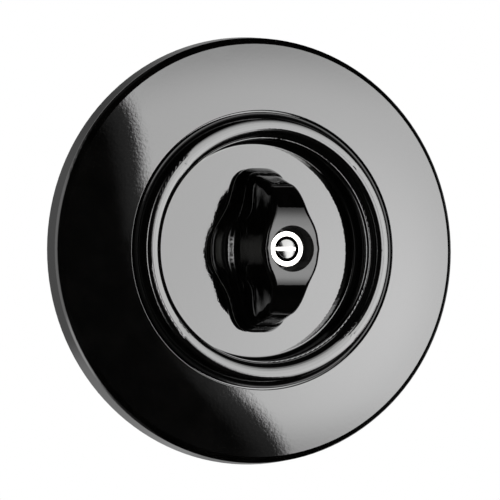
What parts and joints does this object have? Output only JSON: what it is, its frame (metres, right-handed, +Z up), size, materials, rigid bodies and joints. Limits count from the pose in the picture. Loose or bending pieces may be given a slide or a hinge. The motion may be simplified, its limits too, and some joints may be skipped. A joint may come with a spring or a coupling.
{
  "type": "rotary light switch",
  "caption": "Flush rotary light switch with a round black gloss cover frame, a sunk centre plate with a raised rim, a wing knob, and a ceramic insert with spreading claws.",
  "frame": {"origin": "on the spindle's axis, in the plane of the wall", "axes": "+Y into the wall, +Z up, so the front faces -Y"},
  "size_m": [0.1, 0.0539, 0.1],
  "materials": {
    "phenolic_black": "moulded phenolic resin, high gloss",
    "phenolic_brown": "moulded phenolic resin, dull",
    "nickel": "bright nickel plate",
    "brass": "turned",
    "zinc_steel": "zinc plated",
    "spring_steel": "blued strip",
    "spring_bronze": "rolled strip",
    "steatite": "fired, unglazed",
    "fibre_board": "pressed sheet"
  },
  "bodies": {
    "housing": {"cover_frame": "phenolic_black", "centre_plate": "phenolic_black", "plate_nut": "brass", "bearing_bush": "brass", "support_ring": "zinc_steel", "switch_base": "steatite", "base_screws": "zinc_steel", "back_plate": "fibre_board", "back_screws": "brass", "detent_spring_left": "spring_steel", "detent_spring_right": "spring_steel", "terminal_1": "brass", "terminal_2": "brass", "terminal_3": "brass", "terminal_4": "brass", "terminal_screw_1": "zinc_steel", "terminal_screw_2": "zinc_steel", "terminal_screw_3": "zinc_steel", "terminal_screw_4": "zinc_steel", "contact_spring_1": "spring_bronze", "contact_spring_2": "spring_bronze", "contact_spring_3": "spring_bronze", "contact_spring_4": "spring_bronze", "claw_pin_left": "zinc_steel", "claw_pin_right": "zinc_steel"},
    "rotor": {"knob": "phenolic_black", "knob_cup": "nickel", "knob_screw": "nickel", "spindle": "brass", "detent_cam": "fibre_board", "contact_drum": "phenolic_brown", "contact_bridges": "brass", "retaining_clip": "spring_steel"},
    "screw_left": {"claw_screw_left": "zinc_steel"},
    "screw_right": {"claw_screw_right": "zinc_steel"},
    "nut_left": {"claw_nut_left": "zinc_steel"},
    "nut_right": {"claw_nut_right": "zinc_steel"},
    "spread_left": {"claw_left": "zinc_steel"},
    "spread_right": {"claw_right": "zinc_steel"}
  },
  "joints": [
    {"name": "knob_turn", "type": "hinge", "parent": "housing", "child": "rotor", "pos_m": [0, 0, 0], "axis": [0, 1, 0], "continuous": true, "deforming": ["detent_spring_left", "detent_spring_right"]},
    {"name": "claw_nut_right_travel", "type": "slide", "parent": "housing", "child": "nut_right", "axis": [0, -1, 0], "range_m": [0, 0.0017]},
    {"name": "claw_screw_right_turn", "type": "hinge", "parent": "housing", "child": "screw_right", "pos_m": [0.0206, 0, 0], "axis": [0, 1, 0], "range_deg": [0, 1020.5]},
    {"name": "claw_right_swing", "type": "hinge", "parent": "housing", "child": "spread_right", "pos_m": [0.0244, 0.0155, 0], "axis": [0, 0, 1], "range_deg": [0, 25.1]},
    {"name": "claw_nut_left_travel", "type": "slide", "parent": "housing", "child": "nut_left", "axis": [0, -1, 0], "range_m": [0, 0.0017]},
    {"name": "claw_screw_left_turn", "type": "hinge", "parent": "housing", "child": "screw_left", "pos_m": [-0.0206, 0, 0], "axis": [0, 1, 0], "range_deg": [0, 1020.5]},
    {"name": "claw_left_swing", "type": "hinge", "parent": "housing", "child": "spread_left", "pos_m": [-0.0244, 0.0155, 0], "axis": [0, 0, -1], "range_deg": [0, 25.1]}
  ],
  "couplings": [
    {"joint": "claw_screw_right_turn", "follows": "claw_nut_right_travel", "rad_per_m": 10472},
    {"joint": "claw_right_swing", "follows": "claw_nut_right_travel", "rad_per_m": 256.67},
    {"joint": "claw_screw_left_turn", "follows": "claw_nut_left_travel", "rad_per_m": 10472},
    {"joint": "claw_left_swing", "follows": "claw_nut_left_travel", "rad_per_m": 256.67}
  ]
}
